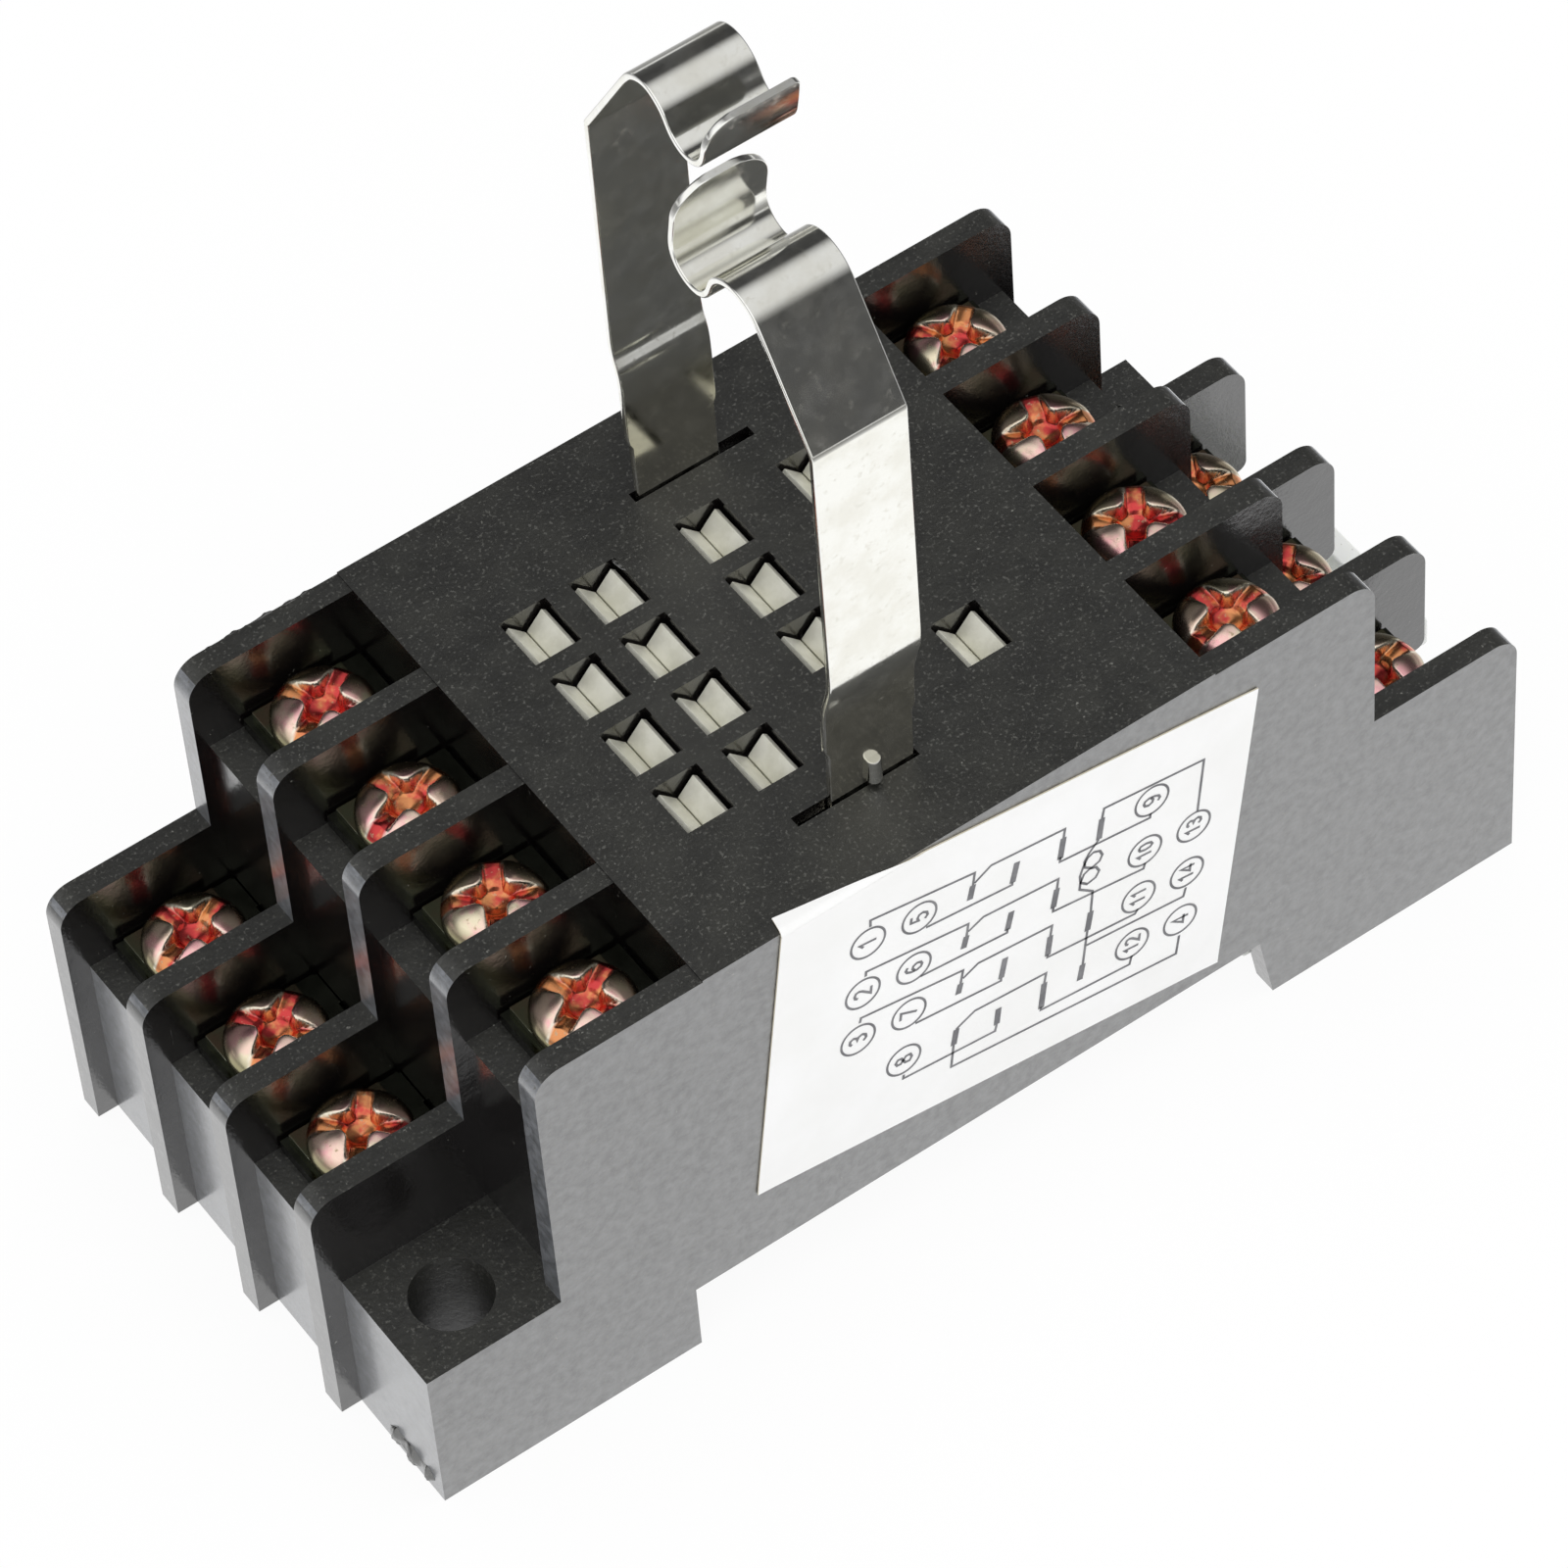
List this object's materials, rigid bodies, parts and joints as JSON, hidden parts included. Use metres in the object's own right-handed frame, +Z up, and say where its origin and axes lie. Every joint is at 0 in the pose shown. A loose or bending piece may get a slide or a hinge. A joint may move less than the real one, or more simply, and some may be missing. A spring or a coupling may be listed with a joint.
{
  "type": "relay socket",
  "caption": "Screw-terminal socket for a plug-in miniature relay, with barriers between the terminals, spring retaining clips and a rail foot with a slide latch",
  "frame": {"origin": "middle of the footprint, on the plane under the feet, midway between the two mounting holes", "axes": "X along the length with the rail latch on +X, Y across the width with the label on the -Y side, Z up"},
  "size_m": [0.0731, 0.0321, 0.0654],
  "materials": {
    "black_moulding": "slightly mottled black thermoset moulding",
    "label_paper": "matt white paper printed in grey",
    "pale_latch": "pale translucent plastic",
    "clip_steel": "bright rolled spring steel",
    "terminal_metal": "tin-plated brass",
    "screw_plating": "iridescent yellow-red zinc plating"
  },
  "bodies": {
    "base": {"housing": "black_moulding", "bottom_cover": "black_moulding", "label": "label_paper", "terminal_1": "terminal_metal", "terminal_2": "terminal_metal", "terminal_3": "terminal_metal", "terminal_4": "terminal_metal", "terminal_5": "terminal_metal", "terminal_6": "terminal_metal", "terminal_7": "terminal_metal", "terminal_8": "terminal_metal", "terminal_9": "terminal_metal", "terminal_10": "terminal_metal", "terminal_11": "terminal_metal", "terminal_12": "terminal_metal", "terminal_13": "terminal_metal", "terminal_14": "terminal_metal"},
    "rail_latch": {"rail_latch": "pale_latch"},
    "clip_near": {"clip_near": "clip_steel"},
    "clip_far": {"clip_far": "clip_steel"},
    "washer_1": {"washer_1": "screw_plating"},
    "screw_1": {"screw_1": "screw_plating"},
    "washer_2": {"washer_2": "screw_plating"},
    "screw_2": {"screw_2": "screw_plating"},
    "washer_3": {"washer_3": "screw_plating"},
    "screw_3": {"screw_3": "screw_plating"},
    "washer_4": {"washer_4": "screw_plating"},
    "screw_4": {"screw_4": "screw_plating"},
    "washer_5": {"washer_5": "screw_plating"},
    "screw_5": {"screw_5": "screw_plating"},
    "washer_6": {"washer_6": "screw_plating"},
    "screw_6": {"screw_6": "screw_plating"},
    "washer_7": {"washer_7": "screw_plating"},
    "screw_7": {"screw_7": "screw_plating"},
    "washer_8": {"washer_8": "screw_plating"},
    "screw_8": {"screw_8": "screw_plating"},
    "washer_9": {"washer_9": "screw_plating"},
    "screw_9": {"screw_9": "screw_plating"},
    "washer_10": {"washer_10": "screw_plating"},
    "screw_10": {"screw_10": "screw_plating"},
    "washer_11": {"washer_11": "screw_plating"},
    "screw_11": {"screw_11": "screw_plating"},
    "washer_12": {"washer_12": "screw_plating"},
    "screw_12": {"screw_12": "screw_plating"},
    "washer_13": {"washer_13": "screw_plating"},
    "screw_13": {"screw_13": "screw_plating"},
    "washer_14": {"washer_14": "screw_plating"},
    "screw_14": {"screw_14": "screw_plating"}
  },
  "joints": [
    {"name": "rail_latch_slide", "type": "slide", "parent": "base", "child": "rail_latch", "axis": [1, 0, 0], "range_m": [0, 0.003], "stiffness_N_per_m": 1200, "springref_m": -0.001},
    {"name": "clip_near_swing", "type": "hinge", "parent": "base", "child": "clip_near", "pos_m": [-0.0018, -0.01087, 0.0286], "axis": [1, 0, 0], "range_deg": [-1, 10]},
    {"name": "clip_far_swing", "type": "hinge", "parent": "base", "child": "clip_far", "pos_m": [0.0018, 0.01087, 0.0286], "axis": [-1, 0, 0], "range_deg": [-1, 10]},
    {"name": "washer_1_lift", "type": "slide", "parent": "base", "child": "washer_1", "axis": [0, 0, 1], "range_m": [0, 0.0021]},
    {"name": "screw_1_turn", "type": "hinge", "parent": "washer_1", "child": "screw_1", "pos_m": [-0.0287, 0.01151, 0.0134], "axis": [0, 0, 1], "range_deg": [0, 1261]},
    {"name": "washer_2_lift", "type": "slide", "parent": "base", "child": "washer_2", "axis": [0, 0, 1], "range_m": [0, 0.0021]},
    {"name": "screw_2_turn", "type": "hinge", "parent": "washer_2", "child": "screw_2", "pos_m": [-0.0287, 0.00384, 0.0134], "axis": [0, 0, 1], "range_deg": [0, 1261]},
    {"name": "washer_3_lift", "type": "slide", "parent": "base", "child": "washer_3", "axis": [0, 0, 1], "range_m": [0, 0.0021]},
    {"name": "screw_3_turn", "type": "hinge", "parent": "washer_3", "child": "screw_3", "pos_m": [-0.0287, -0.00384, 0.0134], "axis": [0, 0, 1], "range_deg": [0, 1261]},
    {"name": "washer_4_lift", "type": "slide", "parent": "base", "child": "washer_4", "axis": [0, 0, 1], "range_m": [0, 0.0021]},
    {"name": "screw_4_turn", "type": "hinge", "parent": "washer_4", "child": "screw_4", "pos_m": [0.0287, -0.01151, 0.0134], "axis": [0, 0, 1], "range_deg": [0, 1261]},
    {"name": "washer_5_lift", "type": "slide", "parent": "base", "child": "washer_5", "axis": [0, 0, 1], "range_m": [0, 0.0021]},
    {"name": "screw_5_turn", "type": "hinge", "parent": "washer_5", "child": "screw_5", "pos_m": [-0.0195, 0.01151, 0.02478], "axis": [0, 0, 1], "range_deg": [0, 1261]},
    {"name": "washer_6_lift", "type": "slide", "parent": "base", "child": "washer_6", "axis": [0, 0, 1], "range_m": [0, 0.0021]},
    {"name": "screw_6_turn", "type": "hinge", "parent": "washer_6", "child": "screw_6", "pos_m": [-0.0195, 0.00384, 0.02478], "axis": [0, 0, 1], "range_deg": [0, 1261]},
    {"name": "washer_7_lift", "type": "slide", "parent": "base", "child": "washer_7", "axis": [0, 0, 1], "range_m": [0, 0.0021]},
    {"name": "screw_7_turn", "type": "hinge", "parent": "washer_7", "child": "screw_7", "pos_m": [-0.0195, -0.00384, 0.02478], "axis": [0, 0, 1], "range_deg": [0, 1261]},
    {"name": "washer_8_lift", "type": "slide", "parent": "base", "child": "washer_8", "axis": [0, 0, 1], "range_m": [0, 0.0021]},
    {"name": "screw_8_turn", "type": "hinge", "parent": "washer_8", "child": "screw_8", "pos_m": [-0.0195, -0.01151, 0.02478], "axis": [0, 0, 1], "range_deg": [0, 1261]},
    {"name": "washer_9_lift", "type": "slide", "parent": "base", "child": "washer_9", "axis": [0, 0, 1], "range_m": [0, 0.0021]},
    {"name": "screw_9_turn", "type": "hinge", "parent": "washer_9", "child": "screw_9", "pos_m": [0.0195, 0.01151, 0.02478], "axis": [0, 0, 1], "range_deg": [0, 1261]},
    {"name": "washer_10_lift", "type": "slide", "parent": "base", "child": "washer_10", "axis": [0, 0, 1], "range_m": [0, 0.0021]},
    {"name": "screw_10_turn", "type": "hinge", "parent": "washer_10", "child": "screw_10", "pos_m": [0.0195, 0.00384, 0.02478], "axis": [0, 0, 1], "range_deg": [0, 1261]},
    {"name": "washer_11_lift", "type": "slide", "parent": "base", "child": "washer_11", "axis": [0, 0, 1], "range_m": [0, 0.0021]},
    {"name": "screw_11_turn", "type": "hinge", "parent": "washer_11", "child": "screw_11", "pos_m": [0.0195, -0.00384, 0.02478], "axis": [0, 0, 1], "range_deg": [0, 1261]},
    {"name": "washer_12_lift", "type": "slide", "parent": "base", "child": "washer_12", "axis": [0, 0, 1], "range_m": [0, 0.0021]},
    {"name": "screw_12_turn", "type": "hinge", "parent": "washer_12", "child": "screw_12", "pos_m": [0.0195, -0.01151, 0.02478], "axis": [0, 0, 1], "range_deg": [0, 1261]},
    {"name": "washer_13_lift", "type": "slide", "parent": "base", "child": "washer_13", "axis": [0, 0, 1], "range_m": [0, 0.0021]},
    {"name": "screw_13_turn", "type": "hinge", "parent": "washer_13", "child": "screw_13", "pos_m": [0.0287, 0.00384, 0.0134], "axis": [0, 0, 1], "range_deg": [0, 1261]},
    {"name": "washer_14_lift", "type": "slide", "parent": "base", "child": "washer_14", "axis": [0, 0, 1], "range_m": [0, 0.0021]},
    {"name": "screw_14_turn", "type": "hinge", "parent": "washer_14", "child": "screw_14", "pos_m": [0.0287, -0.00384, 0.0134], "axis": [0, 0, 1], "range_deg": [0, 1261]}
  ],
  "couplings": [
    {"joint": "screw_1_turn", "follows": "washer_1_lift", "rad_per_m": 10472},
    {"joint": "screw_2_turn", "follows": "washer_2_lift", "rad_per_m": 10472},
    {"joint": "screw_3_turn", "follows": "washer_3_lift", "rad_per_m": 10472},
    {"joint": "screw_4_turn", "follows": "washer_4_lift", "rad_per_m": 10472},
    {"joint": "screw_5_turn", "follows": "washer_5_lift", "rad_per_m": 10472},
    {"joint": "screw_6_turn", "follows": "washer_6_lift", "rad_per_m": 10472},
    {"joint": "screw_7_turn", "follows": "washer_7_lift", "rad_per_m": 10472},
    {"joint": "screw_8_turn", "follows": "washer_8_lift", "rad_per_m": 10472},
    {"joint": "screw_9_turn", "follows": "washer_9_lift", "rad_per_m": 10472},
    {"joint": "screw_10_turn", "follows": "washer_10_lift", "rad_per_m": 10472},
    {"joint": "screw_11_turn", "follows": "washer_11_lift", "rad_per_m": 10472},
    {"joint": "screw_12_turn", "follows": "washer_12_lift", "rad_per_m": 10472},
    {"joint": "screw_13_turn", "follows": "washer_13_lift", "rad_per_m": 10472},
    {"joint": "screw_14_turn", "follows": "washer_14_lift", "rad_per_m": 10472}
  ]
}
